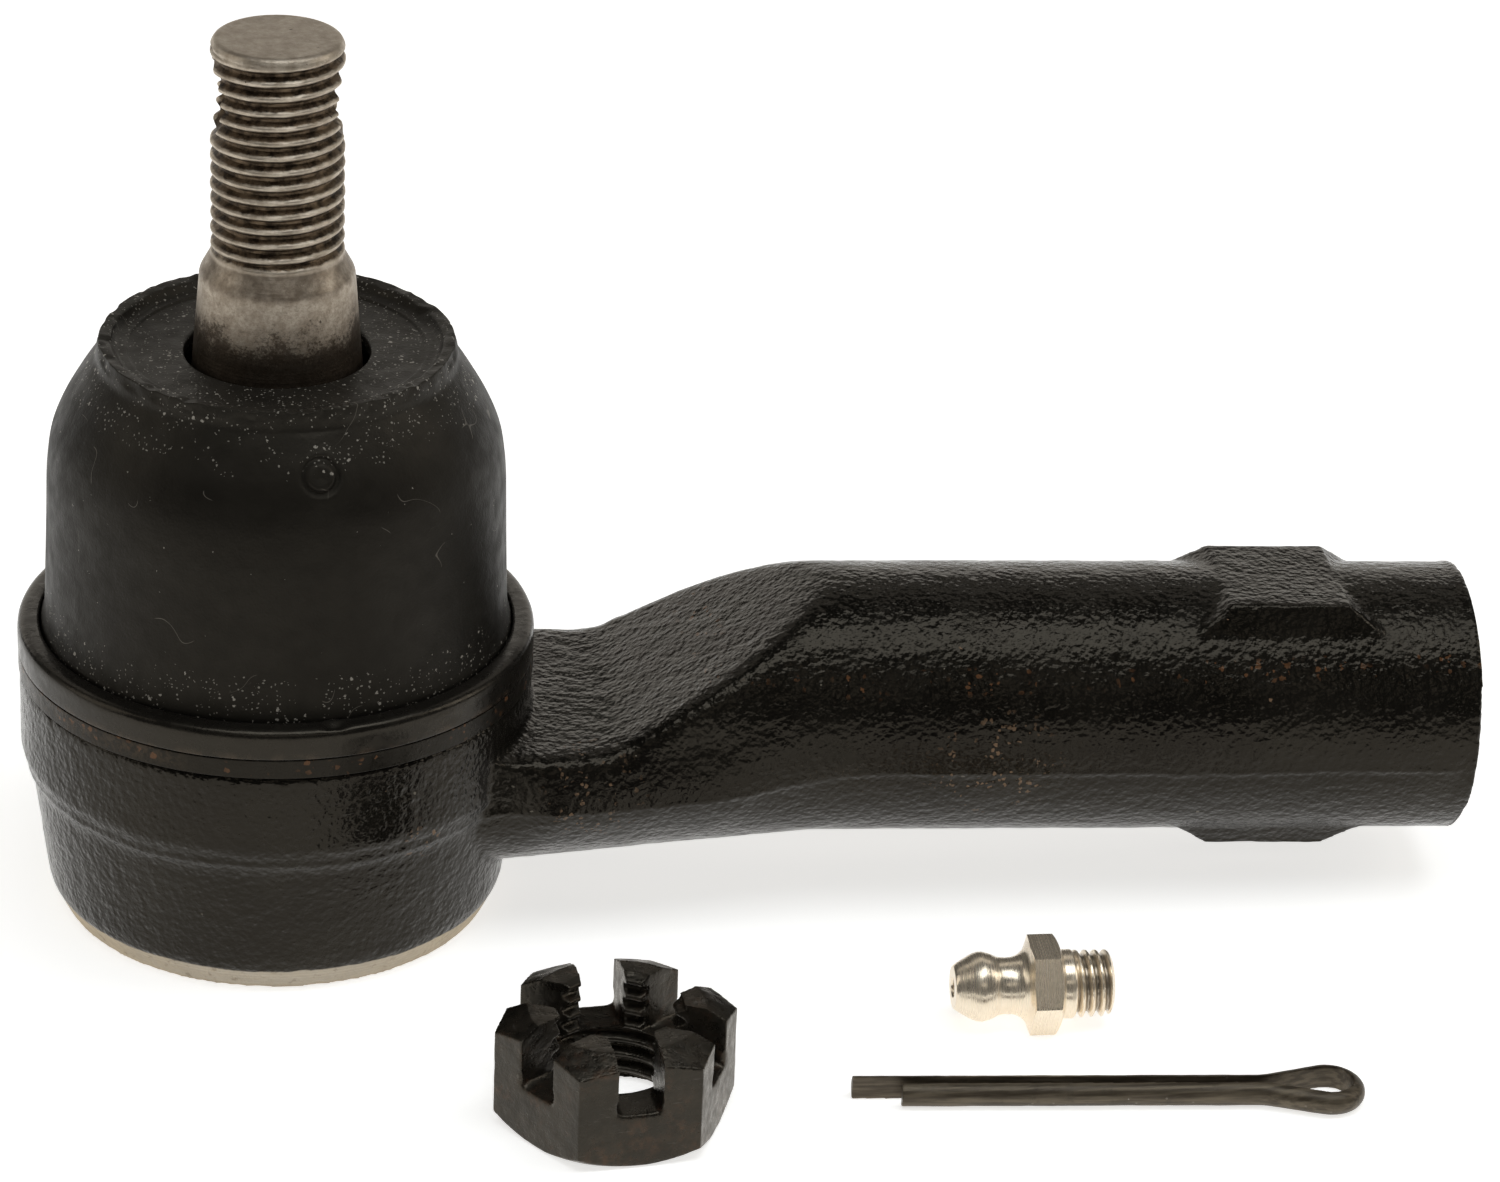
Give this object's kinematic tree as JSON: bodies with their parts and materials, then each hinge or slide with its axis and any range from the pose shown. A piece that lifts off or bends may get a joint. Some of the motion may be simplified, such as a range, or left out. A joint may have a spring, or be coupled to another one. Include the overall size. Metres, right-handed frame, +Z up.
{
  "type": "tie rod end",
  "caption": "Greasable outer tie rod end: ball stud in a forged socket with a threaded tubular shank, dust boot, castle nut, cotter pin and grease fitting.",
  "frame": {"origin": "centre of the socket's machined bottom face, on the stud's axis", "axes": "+Z up along the stud, +X from the socket towards the shank's threaded mouth; the loose nut, pin and grease fitting lie on the -Y side in the plane of the bottom face"},
  "size_m": [0.1354, 0.0767, 0.0846],
  "materials": {
    "forging_paint": "gloss black paint over a pebbled forging skin",
    "ring_paint": "smooth satin black",
    "boot_rubber": "satin moulded rubber, dusty",
    "stud_steel": "turned and rolled steel with a warm grey phosphate tint",
    "bearing_metal": "sintered steel, oiled",
    "spring_steel": "tempered",
    "plate_steel": "pressed, bare",
    "black_oxide": "black oxide with brown patches",
    "pin_steel": "dull grey wire",
    "nickel_plate": "bright nickel plate"
  },
  "bodies": {
    "housing": {"housing": "forging_paint", "cover_plate": "plate_steel", "boot_retainer_ring": "ring_paint", "preload_spring": "spring_steel", "dust_boot": "boot_rubber"},
    "bearings": {"upper_bearing": "bearing_metal", "lower_bearing": "bearing_metal"},
    "boot_neck": {"boot_stiffener_ring": "plate_steel"},
    "stud": {"ball_stud": "stud_steel"},
    "nut": {"castle_nut": "black_oxide"},
    "cotter": {"cotter_pin": "pin_steel"},
    "fitting": {"grease_fitting_body": "nickel_plate", "grease_fitting_spring": "spring_steel"},
    "check_ball": {"grease_fitting_ball": "plate_steel"}
  },
  "joints": [
    {"name": "socket_pan", "type": "hinge", "parent": "housing", "child": "bearings", "pos_m": [0, 0, 0.018], "axis": [0, 0, 1], "continuous": true},
    {"name": "stud_tilt", "type": "hinge", "parent": "bearings", "child": "boot_neck", "pos_m": [0, 0, 0.018], "axis": [0, 1, 0], "range_deg": [-25, 25], "deforming": ["dust_boot"]},
    {"name": "stud_spin", "type": "hinge", "parent": "boot_neck", "child": "stud", "pos_m": [0, 0, 0.018], "axis": [0, 0, 1], "continuous": true},
    {"name": "nut_lift", "type": "slide", "parent": "housing", "child": "nut", "axis": [0, 0, 1], "range_m": [0, 0.03]},
    {"name": "cotter_lift", "type": "slide", "parent": "housing", "child": "cotter", "axis": [0, 0, 1], "range_m": [0, 0.03]},
    {"name": "fitting_lift", "type": "slide", "parent": "housing", "child": "fitting", "axis": [0, 0, 1], "range_m": [0, 0.03]},
    {"name": "check_ball_travel", "type": "slide", "parent": "fitting", "child": "check_ball", "axis": [1, 0, 0], "range_m": [0, 0.0006], "stiffness_N_per_m": 200, "springref_m": -0.0006, "deforming": ["grease_fitting_spring"]}
  ]
}
